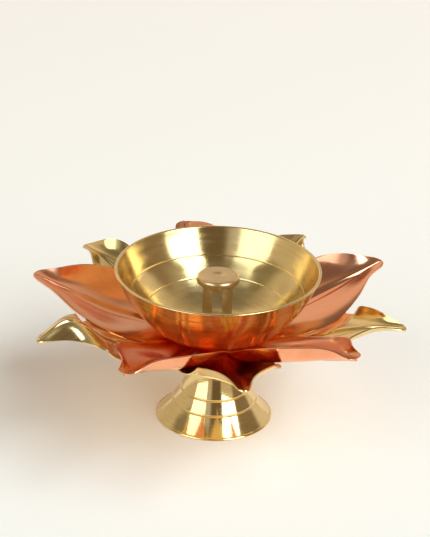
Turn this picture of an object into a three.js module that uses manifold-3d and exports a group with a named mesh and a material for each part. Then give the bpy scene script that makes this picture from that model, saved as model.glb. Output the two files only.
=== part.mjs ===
// Flower diya: a turned brass oil bowl on a flared foot, with a sheet of copper petals
// over a sheet of brass petals clamped between the two, and a slotted wick holder that
// lifts out of the bowl. Lengths are in millimetres, +Z is up, and the origin is the
// centre of the foot on the table.

import * as THREE from 'three';
import { mergeVertices } from 'three/addons/utils/BufferGeometryUtils.js';
import Module from 'manifold-3d';

const wasm = await Module();
wasm.setup();

// Foot and stem
const footRadius = 24;
const footLipHeight = 0.8;
const neckRadius = 9.5;
const flareHeight = 33;
const flarePower = 2.25;
const seatRadius = 12;
const seatThickness = 1.6;
const seatRise = 3.1;
const standWall = 1.9;
const hollowHeight = 24;
const lowerGrooveHeight = 7.8;
const upperGrooveHeight = 13.1;
const grooveDepth = 0.25;
const grooveWidth = 0.8;

// Fasteners
const studRadius = 2.5;
const studEndChamfer = 0.5;
const studBelowNut = 2.5;
const nutAcrossFlats = 8;
const nutThickness = 4;
const washerRadius = 6;
const washerThickness = 1;

// Fits
const boreClearance = 0.3;
const stackClearance = 0.1;
const peggedClearance = 0.25;
const mergeDistance = 0.0005;

// Bowl
const bowlRadius = 42;
const bowlWallHeight = 28.4;
const rimThickness = 1.4;
const rimRounding = 0.4;
const bowlUnderRadius = 15;
const bowlFloorRadius = 13;
const bowlFloorThickness = 1.6;
const bowlFootRadius = 6;
const bowlFootHeight = 0.9;
const pegHeight = 2.4;
const pegWall = 1.5;

// Wick holder
const tubeRadius = 6.1;
const tubeWall = 1.5;
const tubeSlotWidth = 4;
const tubeFootRing = 3;
const tubeHeadRing = 1.6;
const capRadius = 8.7;
const capThickness = 3.1;
const capTopBevel = 1.3;
const capUnderBevel = 0.6;
const holderHeight = 23.9;
const capSpigotLength = 2.6;
const capDishRadius = 3.2;
const capDishDepth = 0.5;

// Petal sheets
const petalCount = 5;
const sheetThickness = 0.6;
const hubRadius = 15;
const notchRadius = 32;
const petalRise = 20;
const copperTipRadius = 76;
const brassTipRadius = 79;
const copperHalfWidth = 21.5;
const brassHalfWidth = 20;
const ribDepth = 0.7;
const cupPower = 2.5;
const firstCopperAngle = 27.3;
const firstBrassAngle = 63.3;

// Nesting of the brass sheet under the copper one: its spacing below the copper, kept
// some degrees and some distance past the copper's edges, and the rise that the next
// few degrees allow it
const nestedSpacing = 1.4;
const nestedTurn = 4;
const nestedReach = 1.5;
const easedTurn = 6;
const easedRise = 8;

// Turned pieces and how finely they are faceted
const turnedSteps = 48;
const smallTurnedSteps = 28;
const flareSteps = 9;
const wallSteps = 7;
const flareStepPower = 1.15;
const wallStepPower = 1.3;

// Stations along a petal, from its notch to its tip, and the half width there
const widthStationShares = [0, 0.2, 0.4, 0.6, 0.8, 1];
const copperWidthShares = [0.875, 1, 0.98, 0.71, 0.31, 0.15];
const brassWidthShares = [0.94, 1, 0.97, 0.6, 0.265, 0.1];
const heightStationShares = [0, 0.35, 0.7, 1];
const tipRoundingShare = 0.05;
const nestedTurnShares = [-1, -0.5, 0, 0.5, 1];

// Rows and columns of the petal grid: rows from the stud hole to the notch, rows from
// the notch to the tip, and columns from one edge (-1) over the midrib (0) to the other
const innerRowShares = [0, 0.42, 0.6, 0.8, 1];
const petalRowShares = [0.1, 0.22, 0.35, 0.48, 0.6, 0.7, 0.8, 0.9, 0.965, 0.99];
const acrossShares = [-1, -0.87, -0.7, -0.44, -0.17, -0.07, 0.07, 0.17, 0.44, 0.7, 0.87, 1];
const ribFloorShare = 0.07;
const ribWallShare = 0.17;

// Each petal was bent by hand, so each has its own lean (degrees round the stem), its
// own sideways bend at the tip (degrees), its own reach, wings that belly by its own
// share of their width, and its own heights as shares of the petal rise: along the
// midrib, the left edge and the right edge
const copperPetals = [
  { lean: 1.5, bend: 1, reachShare: 1.045, bellyShare: 0.02,
    ribShares: [0.1, 0.39, 0.65, 0.83], leftShares: [0.1, 0.46, 0.95], rightShares: [0.1, 0.33, 0.67] },
  { lean: 1.5, bend: 1, reachShare: 1.02, bellyShare: 0.02,
    ribShares: [0.1, 0.33, 0.6, 0.78], leftShares: [0.16, 0.39, 0.55], rightShares: [0.1, 0.33, 0.97] },
  { lean: 0, bend: 7, reachShare: 0.985, bellyShare: 0.02,
    ribShares: [0.1, 0.34, 0.77, 1.17], leftShares: [0.12, 0.39, 0.74], rightShares: [0.16, 0.67, 1.07] },
  { lean: 0, bend: -1, reachShare: 0.98, bellyShare: 0.02,
    ribShares: [0.2, 0.46, 0.64, 0.8], leftShares: [0.42, 0.8, 0.95], rightShares: [0.12, 0.44, 0.76] },
  { lean: 0.5, bend: -3, reachShare: 1.045, bellyShare: 0.02,
    ribShares: [0.2, 0.53, 0.8, 1.07], leftShares: [0.1, 0.39, 0.92], rightShares: [0.42, 0.87, 1.13] },
];
const brassPetals = [
  { lean: 1, bend: -2, reachShare: 1, bellyShare: 0.04,
    ribShares: [0, 0.26, 0.56, 0.71], leftShares: [0, 0.35, 0.83], rightShares: [0.04, 0.41, 0.84] },
  { lean: 4, bend: -3, reachShare: 1.01, bellyShare: 0.04,
    ribShares: [0, 0.4, 0.65, 0.66], leftShares: [0.02, 0.37, 0.83], rightShares: [0, 0.1, 0.92] },
  { lean: 3, bend: -0.5, reachShare: 1.02, bellyShare: 0.13,
    ribShares: [0.08, 0.42, 1.08, 0.79], leftShares: [0.2, 0.38, 0.78], rightShares: [0.02, 0.51, 0.95] },
  { lean: -2, bend: 1, reachShare: 0.99, bellyShare: 0.02,
    ribShares: [0.04, 0.33, 0.61, 0.83], leftShares: [0.1, 0.52, 0.82], rightShares: [0.1, 0.53, 0.86] },
  { lean: 0, bend: -1.5, reachShare: 0.98, bellyShare: 0.08,
    ribShares: [0, 0.3, 0.55, 0.64], leftShares: [0.04, 0.4, 0.77], rightShares: [0.1, 0.32, 0.71] },
];

// Outline of the bowl's wall, as shares of its height and of its spread
const wallHeightShares = [0, 0.13, 0.34, 0.62, 1];
const outerSpreadShares = [0, 0.35, 0.585, 0.81, 1];
const innerSpreadShares = [0, 0.33, 0.555, 0.835, 1];

// Places that follow from the sizes above
const seatHeight = flareHeight + seatRise;
const brassMidHeight = seatHeight + stackClearance + sheetThickness / 2;
const copperMidHeight = brassMidHeight + sheetThickness + stackClearance;
const bowlFootBottom = copperMidHeight + sheetThickness / 2 + stackClearance;
const bowlUnderHeight = bowlFootBottom + bowlFootHeight;
const bowlFloorHeight = bowlUnderHeight + bowlFloorThickness;
const bowlRimHeight = bowlUnderHeight + bowlWallHeight;
const boreRadius = studRadius + boreClearance;
const tubeBore = tubeRadius - tubeWall;
const pegRadius = tubeBore - peggedClearance;
const studTop = bowlFloorHeight + pegHeight - pegWall - stackClearance;
const washerTop = hollowHeight - stackClearance;
const nutTop = washerTop - washerThickness - stackClearance;
const capTopHeight = bowlFloorHeight + holderHeight;
const capUnderHeight = capTopHeight - capThickness;
const petalPitch = (2 * Math.PI) / petalCount;
const overrun = footRadius;

const smoothShare = (x) => x * x * (3 - 2 * x);
const radians = THREE.MathUtils.degToRad;

// A smooth curve through values given at rising stations
function throughStations(stations, values, at) {
  const slope = (i) => (values[i + 1] - values[i]) / (stations[i + 1] - stations[i]);
  const last = stations.length - 1;
  const tangent = (i) => {
    if (i === 0) return slope(0);
    if (i === last) return slope(last - 1);
    return (slope(i - 1) + slope(i)) / 2;
  };
  let i = 0;
  while (i < last - 1 && at > stations[i + 1]) i += 1;
  const span = stations[i + 1] - stations[i];
  const x = THREE.MathUtils.clamp((at - stations[i]) / span, 0, 1);
  const rise = smoothShare(x);
  const start = x * (1 - x) * (1 - x) * span * tangent(i);
  const end = x * x * (x - 1) * span * tangent(i + 1);
  return values[i] * (1 - rise) + values[i + 1] * rise + start + end;
}

// Merge shared corners, drop empty triangles and turn the faces outward
function closedBody(source) {
  const geometry = source.clone();
  geometry.deleteAttribute('normal');
  geometry.deleteAttribute('uv');
  const merged = mergeVertices(geometry, mergeDistance);
  const index = merged.getIndex().array;
  const corner = [new THREE.Vector3(), new THREE.Vector3(), new THREE.Vector3()];
  const kept = [];
  let volume = 0;
  for (let i = 0; i < index.length; i += 3) {
    const [a, b, c] = [index[i], index[i + 1], index[i + 2]];
    if (a === b || b === c || c === a) continue;
    kept.push(a, b, c);
    [a, b, c].forEach((v, k) => corner[k].fromBufferAttribute(merged.getAttribute('position'), v));
    volume += corner[0].dot(corner[1].clone().cross(corner[2]));
  }
  if (volume < 0) kept.reverse();
  merged.setIndex(kept);
  return merged;
}

// Turn a closed outline of [radius, height] points about the stem's axis
function turned(outline, steps) {
  const points = outline.map(([radius, height]) => new THREE.Vector2(radius, height));
  const geometry = new THREE.LatheGeometry(points, steps);
  geometry.rotateX(Math.PI / 2);
  return closedBody(geometry);
}

function toSolid(geometry) {
  return new wasm.Manifold(new wasm.Mesh({
    numProp: 3,
    vertProperties: new Float32Array(geometry.getAttribute('position').array),
    triVerts: new Uint32Array(geometry.getIndex().array),
  }));
}

function fromSolid(solid) {
  const mesh = solid.getMesh();
  const geometry = new THREE.BufferGeometry();
  geometry.setAttribute('position', new THREE.BufferAttribute(mesh.vertProperties, 3));
  geometry.setIndex(new THREE.BufferAttribute(mesh.triVerts, 1));
  return geometry;
}

// Flared foot: a thin turned shell, open below, with a solid neck bored for the stud
function standOuterRadius(height) {
  const share = Math.max(0, 1 - height / flareHeight);
  return neckRadius + (footRadius - neckRadius) * share ** flarePower;
}

function standShape() {
  const outline = [[footRadius, 0], [footRadius, footLipHeight]];
  const grooves = [lowerGrooveHeight, upperGrooveHeight];
  const heights = [];
  for (let i = 1; i <= flareSteps; i += 1) {
    heights.push(footLipHeight + (flareHeight - footLipHeight) * (i / flareSteps) ** flareStepPower);
  }
  const clearOfGrooves = heights.filter((h) => grooves.every((g) => Math.abs(h - g) > grooveWidth));
  const wall = clearOfGrooves.map((height) => [standOuterRadius(height), height]);
  for (const groove of grooves) {
    wall.push([standOuterRadius(groove - grooveWidth / 2), groove - grooveWidth / 2]);
    wall.push([standOuterRadius(groove) - grooveDepth, groove]);
    wall.push([standOuterRadius(groove + grooveWidth / 2), groove + grooveWidth / 2]);
  }
  wall.sort((a, b) => a[1] - b[1]);
  outline.push(...wall);
  outline.push([seatRadius, seatHeight - seatThickness], [seatRadius, seatHeight]);
  outline.push([boreRadius, seatHeight], [boreRadius, hollowHeight]);
  for (let i = 0; i <= flareSteps; i += 1) {
    const height = hollowHeight * (1 - i / flareSteps);
    outline.push([standOuterRadius(height) - standWall, height]);
  }
  outline.push([footRadius, 0]);
  return turned(outline, turnedSteps);
}

function washerShape() {
  return turned([
    [boreRadius, washerTop - washerThickness],
    [washerRadius, washerTop - washerThickness],
    [washerRadius, washerTop],
    [boreRadius, washerTop],
    [boreRadius, washerTop - washerThickness],
  ], smallTurnedSteps);
}

function nutShape() {
  const outline = new THREE.Shape();
  const cornerRadius = nutAcrossFlats / 2 / Math.cos(Math.PI / 6);
  for (let i = 0; i < 6; i += 1) {
    const angle = (i * Math.PI) / 3;
    const corner = [cornerRadius * Math.cos(angle), cornerRadius * Math.sin(angle)];
    if (i === 0) outline.moveTo(...corner);
    else outline.lineTo(...corner);
  }
  outline.closePath();
  outline.holes.push(new THREE.Path().absarc(0, 0, boreRadius, 0, 2 * Math.PI, true));
  const geometry = new THREE.ExtrudeGeometry(outline, {
    depth: nutThickness, bevelEnabled: false, curveSegments: smallTurnedSteps / 2,
  });
  geometry.translate(0, 0, nutTop - nutThickness);
  return closedBody(geometry);
}

function studShape() {
  const bottom = nutTop - nutThickness - studBelowNut;
  return turned([
    [0, bottom],
    [studRadius - studEndChamfer, bottom],
    [studRadius, bottom + studEndChamfer],
    [studRadius, studTop - studEndChamfer],
    [studRadius - studEndChamfer, studTop],
    [0, studTop],
  ], smallTurnedSteps);
}

// Bowl: a thin turned wall on a small foot pad, with a peg in its floor that the wick
// holder stands round. The stud's end is held in a blind hole below the peg
function bowlShape() {
  const outer = [];
  const inner = [];
  for (let i = 0; i <= wallSteps; i += 1) {
    const share = (i / wallSteps) ** wallStepPower;
    const outerSpread = throughStations(wallHeightShares, outerSpreadShares, share);
    const innerSpread = throughStations(wallHeightShares, innerSpreadShares, share);
    const innerRim = bowlRadius - rimThickness;
    outer.push([
      bowlUnderRadius + (bowlRadius - bowlUnderRadius) * outerSpread,
      bowlUnderHeight + (bowlRimHeight - rimRounding - bowlUnderHeight) * share,
    ]);
    inner.push([
      bowlFloorRadius + (innerRim - bowlFloorRadius) * innerSpread,
      bowlFloorHeight + (bowlRimHeight - rimRounding - bowlFloorHeight) * share,
    ]);
  }
  inner.reverse();
  return turned([
    [0, studTop + stackClearance],
    [boreRadius, studTop + stackClearance],
    [boreRadius, bowlFootBottom],
    [bowlFootRadius, bowlFootBottom],
    [bowlFootRadius, bowlUnderHeight],
    ...outer,
    [bowlRadius - rimRounding, bowlRimHeight],
    [bowlRadius - rimThickness + rimRounding, bowlRimHeight],
    ...inner,
    [pegRadius, bowlFloorHeight],
    [pegRadius, bowlFloorHeight + pegHeight],
    [0, bowlFloorHeight + pegHeight],
  ], turnedSteps);
}

// Wick holder: a tube slotted right through for the wick, closed by a dished cap
function tubeShape() {
  const bottom = bowlFloorHeight + stackClearance;
  const top = capUnderHeight - stackClearance;
  const tube = turned([
    [tubeBore, bottom],
    [tubeRadius, bottom],
    [tubeRadius, top],
    [tubeBore, top],
    [tubeBore, bottom],
  ], smallTurnedSteps);
  const slotHeight = top - tubeHeadRing - bottom - tubeFootRing;
  const slot = new THREE.BoxGeometry(tubeSlotWidth, overrun, slotHeight);
  slot.translate(0, 0, bottom + tubeFootRing + slotHeight / 2);
  return fromSolid(toSolid(tube).subtract(toSolid(closedBody(slot))));
}

function capShape() {
  const spigotRadius = tubeBore - peggedClearance;
  const dishFloor = capTopHeight - capDishDepth;
  return turned([
    [0, capUnderHeight - capSpigotLength],
    [spigotRadius, capUnderHeight - capSpigotLength],
    [spigotRadius, capUnderHeight],
    [capRadius - capUnderBevel, capUnderHeight],
    [capRadius, capUnderHeight + capUnderBevel],
    [capRadius, capTopHeight - capTopBevel],
    [capRadius - capTopBevel / 3, capTopHeight - capTopBevel / 3],
    [capRadius - capTopBevel, capTopHeight],
    [capDishRadius, capTopHeight],
    [capDishRadius - 2 * capDishDepth, dishFloor],
    [0, dishFloor],
  ], smallTurnedSteps);
}

// Petal sheets: one sheet of metal each, cut into five pointed petals, cupped between
// raised edges and pressed with a midrib
const copperSheet = {
  petals: copperPetals,
  widthShares: copperWidthShares,
  halfWidth: copperHalfWidth,
  tipRadius: copperTipRadius,
  midHeight: copperMidHeight,
  firstAngle: radians(firstCopperAngle),
};
const brassSheet = {
  petals: brassPetals,
  widthShares: brassWidthShares,
  halfWidth: brassHalfWidth,
  tipRadius: brassTipRadius,
  midHeight: brassMidHeight,
  firstAngle: radians(firstBrassAngle),
};

const tipOf = (sheet, petal) => sheet.tipRadius * petal.reachShare;
const alongOf = (sheet, petal, radius) =>
  (radius - notchRadius) / (tipOf(sheet, petal) - notchRadius);

// Width of one wing of a petal, from its midrib to its edge
function wingWidth(sheet, petal, radius) {
  const along = THREE.MathUtils.clamp(alongOf(sheet, petal, radius), 0, 1);
  const tipShare = Math.max(0, (along - 1 + tipRoundingShare) / tipRoundingShare);
  const width = sheet.halfWidth * throughStations(widthStationShares, sheet.widthShares, along);
  return width * Math.sqrt(1 - tipShare * tipShare);
}

// Half of the angle that a petal spans at a radius: half the pitch up to the notch
function halfAngle(sheet, petal, radius) {
  if (radius <= notchRadius) return petalPitch / 2;
  return Math.min(petalPitch / 2, Math.asin(wingWidth(sheet, petal, radius) / radius));
}

function middleAngle(sheet, petal, number, radius) {
  const along = Math.max(0, alongOf(sheet, petal, radius));
  const lean = radians(petal.lean) * (1 - (1 - along) ** 3);
  return sheet.firstAngle + number * petalPitch + lean + radians(petal.bend) * along * along;
}

// Height of the sheet's middle surface at a radius, across from one edge to the other
function petalHeight(sheet, petal, radius, across) {
  if (radius <= hubRadius) return sheet.midHeight;
  const tip = tipOf(sheet, petal);
  const radii = heightStationShares.map((share) => notchRadius + share * (tip - notchRadius));
  const stations = [hubRadius, ...radii];
  const sideShares = across > 0 ? petal.leftShares : petal.rightShares;
  const tipShare = petal.ribShares[petal.ribShares.length - 1];
  const rib = throughStations(stations, [0, ...petal.ribShares], radius);
  const edge = throughStations(stations, [0, ...sideShares, tipShare], radius);
  const cup = Math.abs(across) ** cupPower;
  const ribSide = THREE.MathUtils.clamp(
    (ribWallShare - Math.abs(across)) / (ribWallShare - ribFloorShare), 0, 1);
  const sag = 4 * across * across * (1 - across * across);
  const belly = petal.bellyShare * wingWidth(sheet, petal, radius) * sag;
  const fade = THREE.MathUtils.clamp((radius - hubRadius) / (notchRadius - hubRadius), 0, 1);
  return sheet.midHeight + petalRise * (rib + (edge - rib) * cup) - (ribDepth * ribSide + belly) * fade;
}

// Lowest height of a sheet over a point or close beside it, eased upward with the
// distance where the point is clear of its petals
function lowestOver(sheet, radius, angle) {
  const circle = 2 * Math.PI;
  let lowest = Infinity;
  sheet.petals.forEach((petal, number) => {
    if (radius > tipOf(sheet, petal)) return;
    const from = angle - middleAngle(sheet, petal, number, radius) + circle / 2;
    const offset = from - Math.floor(from / circle) * circle - circle / 2;
    const half = Math.max(halfAngle(sheet, petal, radius), Number.EPSILON);
    const clear = Math.max(0, Math.abs(offset) - half - radians(nestedTurn));
    const beyond = clear / radians(easedTurn);
    if (beyond > 1) return;
    for (const share of nestedTurnShares) {
      const nearby = THREE.MathUtils.clamp(offset + share * radians(nestedTurn), -half, half);
      const height = petalHeight(sheet, petal, radius, nearby / half) + easedRise * beyond;
      lowest = Math.min(lowest, height);
    }
  });
  return lowest;
}

// Give a surface its thickness: both faces, and a wall along every open border
function thickened(places, triangles) {
  const surface = new THREE.BufferGeometry();
  surface.setAttribute('position', new THREE.Float32BufferAttribute(places.flat(), 3));
  surface.setIndex(triangles.flat());
  surface.computeVertexNormals();
  const normals = surface.getAttribute('normal');
  const corners = [];
  for (const side of [1, -1]) {
    places.forEach(([x, y, z], i) => {
      const step = (side * sheetThickness) / 2;
      corners.push(x + step * normals.getX(i), y + step * normals.getY(i), z + step * normals.getZ(i));
    });
  }
  const below = places.length;
  const faces = [];
  const open = new Set();
  for (const [a, b, c] of triangles) {
    faces.push(a, b, c, a + below, c + below, b + below);
    for (const [from, to] of [[a, b], [b, c], [c, a]]) open.add(`${from} ${to}`);
  }
  for (const side of open) {
    const [from, to] = side.split(' ').map(Number);
    if (open.has(`${to} ${from}`)) continue;
    faces.push(from, from + below, to, to, from + below, to + below);
  }
  const geometry = new THREE.BufferGeometry();
  geometry.setAttribute('position', new THREE.Float32BufferAttribute(corners, 3));
  geometry.setIndex(faces);
  return closedBody(geometry);
}

// The sheet's grid: whole rings round the hub, then one tongue of rows for each petal
function sheetShape(sheet, ceiling) {
  const places = [];
  const triangles = [];
  const columns = acrossShares.length - 1;
  const place = (petal, number, radius, across) => {
    const angle = middleAngle(sheet, petal, number, radius) + halfAngle(sheet, petal, radius) * across;
    const own = petalHeight(sheet, petal, radius, across);
    const height = Math.min(own, ceiling(radius, angle));
    places.push([radius * Math.cos(angle), radius * Math.sin(angle), height]);
    return places.length - 1;
  };
  const band = (low, high) => {
    for (let i = 0; i < low.length - 1; i += 1) {
      triangles.push([low[i], high[i], high[i + 1]], [low[i], high[i + 1], low[i + 1]]);
    }
  };
  const ringRadii = [boreRadius, ...innerRowShares.map((share) => (
    hubRadius + share * (notchRadius - hubRadius)))];
  const rings = ringRadii.map((radius) => {
    const ring = [];
    sheet.petals.forEach((petal, number) => {
      for (let i = 0; i < columns; i += 1) {
        ring.push(place(petal, number, radius, acrossShares[i]));
      }
    });
    return [...ring, ring[0]];
  });
  for (let i = 0; i < rings.length - 1; i += 1) band(rings[i], rings[i + 1]);
  sheet.petals.forEach((petal, number) => {
    const start = number * columns;
    let row = rings[rings.length - 1].slice(start, start + columns + 1);
    for (const share of petalRowShares) {
      const radius = notchRadius + share * (tipOf(sheet, petal) - notchRadius);
      const next = acrossShares.map((across) => place(petal, number, radius, across));
      band(row, next);
      row = next;
    }
    const tip = place(petal, number, tipOf(sheet, petal), 0);
    for (let i = 0; i < columns; i += 1) triangles.push([row[i], tip, row[i + 1]]);
  });
  return thickened(places, triangles);
}

// The brass sheet nests under the copper one: wherever a copper petal lies over it, or
// can turn over it, it is dressed down to keep clear of it
function copperCeiling(radius, angle) {
  const inner = Math.max(boreRadius, radius - nestedReach);
  const lowest = Math.min(
    lowestOver(copperSheet, radius, angle), lowestOver(copperSheet, inner, angle));
  const outward = THREE.MathUtils.clamp((radius - hubRadius) / (notchRadius - hubRadius), 0, 1);
  const flatSpacing = copperMidHeight - brassMidHeight;
  return lowest - flatSpacing - (nestedSpacing - flatSpacing) * smoothShare(outward);
}

const brass = new THREE.MeshStandardMaterial({ color: 0xd9bc84, roughness: 0.28, metalness: 1 });
const copper = new THREE.MeshStandardMaterial({ color: 0xc47a54, roughness: 0.3, metalness: 1 });
const steel = new THREE.MeshStandardMaterial({ color: 0xb9b6ae, roughness: 0.4, metalness: 1 });

const diya = new THREE.Group();

function addPiece(name, geometry, material) {
  const piece = new THREE.Mesh(geometry, material);
  piece.name = name;
  diya.add(piece);
}

addPiece('base_stand', standShape(), brass);
addPiece('lock_washer', washerShape(), steel);
addPiece('lock_nut', nutShape(), steel);
addPiece('center_stud', studShape(), steel);
addPiece('bowl', bowlShape(), brass);
addPiece('brass_petals', sheetShape(brassSheet, copperCeiling), brass);
addPiece('copper_petals', sheetShape(copperSheet, () => Infinity), copper);
addPiece('wick_tube', tubeShape(), brass);
addPiece('wick_cap', capShape(), brass);

export default diya;
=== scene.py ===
"""Flower diya: turned brass bowl, stand and wick holder, copper and brass petal sheets."""

import math

import bmesh
import bpy
import numpy as np
from mathutils import Matrix, Vector


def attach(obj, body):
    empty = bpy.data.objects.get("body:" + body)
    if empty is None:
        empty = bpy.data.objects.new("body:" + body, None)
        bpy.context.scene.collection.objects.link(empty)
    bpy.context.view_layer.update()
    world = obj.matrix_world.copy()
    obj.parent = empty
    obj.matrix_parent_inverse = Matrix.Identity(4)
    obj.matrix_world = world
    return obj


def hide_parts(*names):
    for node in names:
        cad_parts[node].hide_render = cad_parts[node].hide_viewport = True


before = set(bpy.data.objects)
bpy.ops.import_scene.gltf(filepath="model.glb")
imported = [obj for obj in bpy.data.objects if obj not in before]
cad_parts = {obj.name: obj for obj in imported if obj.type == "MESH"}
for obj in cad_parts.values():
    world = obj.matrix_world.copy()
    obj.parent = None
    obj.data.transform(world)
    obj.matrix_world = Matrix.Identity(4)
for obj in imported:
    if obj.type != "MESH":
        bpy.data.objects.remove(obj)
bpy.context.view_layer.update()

MM = 0.001

# Camera, measured from the photograph's perspective
CAMERA_ELEVATION = math.radians(25.635)
CAMERA_ROLL = math.radians(1.759)
CAMERA_DISTANCE = 900 * MM
CAMERA_AIM = Vector((-1.345, 0, 66.76)) * MM
CAMERA_FOCAL_PIXELS = 2223.15
PHOTO_LONG_SIDE = 537
SENSOR_SIZE = 36
CLIP_NEAR = 0.05
CLIP_FAR = 50

# Stand, in millimetres
FOOT_RADIUS = 24
FOOT_LIP_HEIGHT = 0.8
NECK_RADIUS = 9.5
FLARE_HEIGHT = 33
FLARE_POWER = 2.25
SEAT_RADIUS = 12
SEAT_THICKNESS = 1.6
SEAT_HEIGHT = 36.1
STAND_WALL = 1.9
HOLLOW_HEIGHT = 24
LOWER_GROOVE_HEIGHT = 7.8
UPPER_GROOVE_HEIGHT = 13.1
GROOVE_DEPTH = 0.25
GROOVE_WIDTH = 0.8
FOOT_UNDER_BEVEL = 0.25
FOOT_EDGE_BEVEL = 0.2
NECK_FILLET_WIDTH = 0.4
NECK_FILLET_HEIGHT = 0.6
SEAT_UNDER_BEVEL = 0.3
SEAT_TOP_BEVEL = 0.15
STAND_WALL_STEP = 0.12
STAND_HOLLOW_ROWS = 24
STAND_STEPS = 160

# Fasteners and fits
STUD_RADIUS = 2.5
STUD_BELOW_NUT = 2.5
NUT_ACROSS_FLATS = 8
NUT_THICKNESS = 4
WASHER_RADIUS = 6
WASHER_THICKNESS = 1
BORE_CLEARANCE = 0.3
STACK_CLEARANCE = 0.1
PEGGED_CLEARANCE = 0.25
THREAD_PITCH = 0.8
THREAD_DEPTH = 0.35
STUD_END_BEVEL = 0.6
STUD_END_HEIGHT = 0.4
NUT_BEVEL_WIDTH = 0.2
NUT_BEVEL_HEIGHT = 0.5
WASHER_EDGE = 0.15
STUD_STEPS = 48
NUT_STEPS = 72
WASHER_STEPS = 96

# Bowl
BOWL_RADIUS = 42
BOWL_RIM_HEIGHT = 66.9
RIM_THICKNESS = 1.4
RIM_ROUNDING = 0.4
BOWL_UNDER_RADIUS = 15
BOWL_FLOOR_RADIUS = 10
BOWL_FLOOR_THICKNESS = 1.6
BOWL_FOOT_RADIUS = 6
BOWL_FOOT_HEIGHT = 0.9
PEG_HEIGHT = 2.4
PEG_WALL = 1.5
OUTER_LINE_HEIGHT = 62
INNER_LINE_HEIGHTS = (49.1, 56.1)
OUTER_LINE_DEPTH = 0.05
INNER_LINE_DEPTH = 0.16
LINE_HALF_WIDTH = 0.28
BOWL_FOOT_BEVEL = 0.1
BOWL_WALL_ROWS = 240
BOWL_RIM_ROWS = 9
BOWL_STEPS = 256
OUTER_HEIGHT_SHARES = (0, 0.13, 0.34, 0.62, 1)
OUTER_SPREAD_SHARES = (0, 0.35, 0.585, 0.81, 1)
INNER_HEIGHT_SHARES = (0, 0.019, 0.061, 0.138, 0.234, 0.341, 0.444, 0.559, 0.617, 0.674,
                       0.751, 0.828, 0.904, 1)
INNER_SPREAD_SHARES = (0, 0.124, 0.248, 0.386, 0.507, 0.613, 0.703, 0.796, 0.833, 0.864,
                       0.9, 0.933, 0.964, 1)

# Wick holder
TUBE_RADIUS = 6.1
TUBE_WALL = 1.5
TUBE_SLOT_WIDTH = 4
TUBE_FOOT_RING = 3
TUBE_HEAD_RING = 1.6
CAP_RADIUS = 8.7
CAP_THICKNESS = 3.1
CAP_TOP_BEVEL = 1.3
CAP_UNDER_BEVEL = 0.6
CAP_TOP_HEIGHT = 64
CAP_SPIGOT_LENGTH = 2.6
CAP_DISH_RADIUS = 3.2
CAP_DISH_DEPTH = 0.5
CAP_DISH_BOSS = 0.15
CAP_BOSS_SPREAD = 0.25
CAP_SPIGOT_BEVEL = 0.2
CAP_EDGE_ROWS = 7
CAP_DISH_ROWS = 15
CAP_STEPS = 96
TUBE_EDGE = 0.18
TUBE_STEPS = 72

# Petal sheets
PETAL_COUNT = 5
SHEET_THICKNESS = 0.6
HUB_RADIUS = 15
NOTCH_RADIUS = 32
PETAL_RISE = 20
COPPER_TIP_RADIUS = 76
BRASS_TIP_RADIUS = 79
COPPER_HALF_WIDTH = 21.5
BRASS_HALF_WIDTH = 20
RIB_DEPTH = 1.1
NESTED_SPACING = 1.4
NESTED_SOFTNESS = 0.25
SAFE_EXPONENTS = (-40, 40)
FIRST_COPPER_ANGLE = 27.3
FIRST_BRASS_ANGLE = 63.3
CUP_POWER = 2.5
NESTED_TURN = 4
NESTED_REACH = 1.5
NESTED_TURN_STEPS = 5
EASED_TURN = 6
EASED_RISE = 8
LEAST_HALF_ANGLE = 1e-9
SHEET_EDGE = 0.16
SHEET_EDGE_ANGLE = 60
HUB_START_SHARE = 0.4
HUB_ROWS = 6
INNER_ROWS = 26
PETAL_ROWS = 84
COLUMNS = 48

WIDTH_STATION_SHARES = (0, 0.2, 0.4, 0.6, 0.8, 1)
COPPER_WIDTH_SHARES = (0.875, 1, 0.98, 0.71, 0.31, 0.15)
BRASS_WIDTH_SHARES = (0.94, 1, 0.97, 0.6, 0.265, 0.1)
HEIGHT_STATION_SHARES = (0, 0.35, 0.7, 1)
TIP_ROUNDING_SHARE = 0.05
RIB_FLOOR_SHARE = 0.07
RIB_WALL_SHARE = 0.15

# Each petal's lean and tip bend in degrees, its reach, how far its wings belly as a share
# of their width, and the heights of its midrib, left edge and right edge as shares of the
# petal rise
COPPER_PETALS = (
    (1.5, 1, 1.045, -0.05, (0.18, 0.39, 0.62, 0.83), (0.1, 0.46, 0.95), (0.1, 0.33, 0.67)),
    (1.5, 1, 1.02, 0.02, (0.1, 0.33, 0.6, 0.78), (0.16, 0.39, 0.55), (0.1, 0.33, 0.97)),
    (0, 7, 0.985, -0.04, (0.17, 0.35, 0.75, 1.17), (0.12, 0.39, 0.74), (0.16, 0.67, 1.07)),
    (0, -1, 0.98, 0.06, (0.14, 0.4, 0.61, 0.8), (0.405, 0.8, 0.95), (0.12, 0.44, 0.76)),
    (0.5, -3, 1.045, 0.06, (0.14, 0.46, 0.77, 1.07), (0.1, 0.39, 0.92), (0.405, 0.87, 1.13)),
)
BRASS_PETALS = (
    (1, -2, 1, 0.04, (0, 0.26, 0.56, 0.71), (0, 0.35, 0.83), (0.04, 0.41, 0.84)),
    (4, -3, 1.01, 0.04, (0, 0.4, 0.65, 0.66), (0.02, 0.37, 0.83), (0, 0.1, 0.92)),
    (3, -0.5, 1.02, 0.13, (0.08, 0.42, 1.08, 0.79), (0.2, 0.38, 0.78), (0.02, 0.51, 0.95)),
    (-2, 1, 0.99, 0.02, (0.04, 0.33, 0.61, 0.83), (0.1, 0.52, 0.82), (0.1, 0.53, 0.86)),
    (0, -1.5, 0.98, 0.08, (0, 0.3, 0.55, 0.64), (0.04, 0.4, 0.77), (0.1, 0.32, 0.71)),
)

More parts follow.
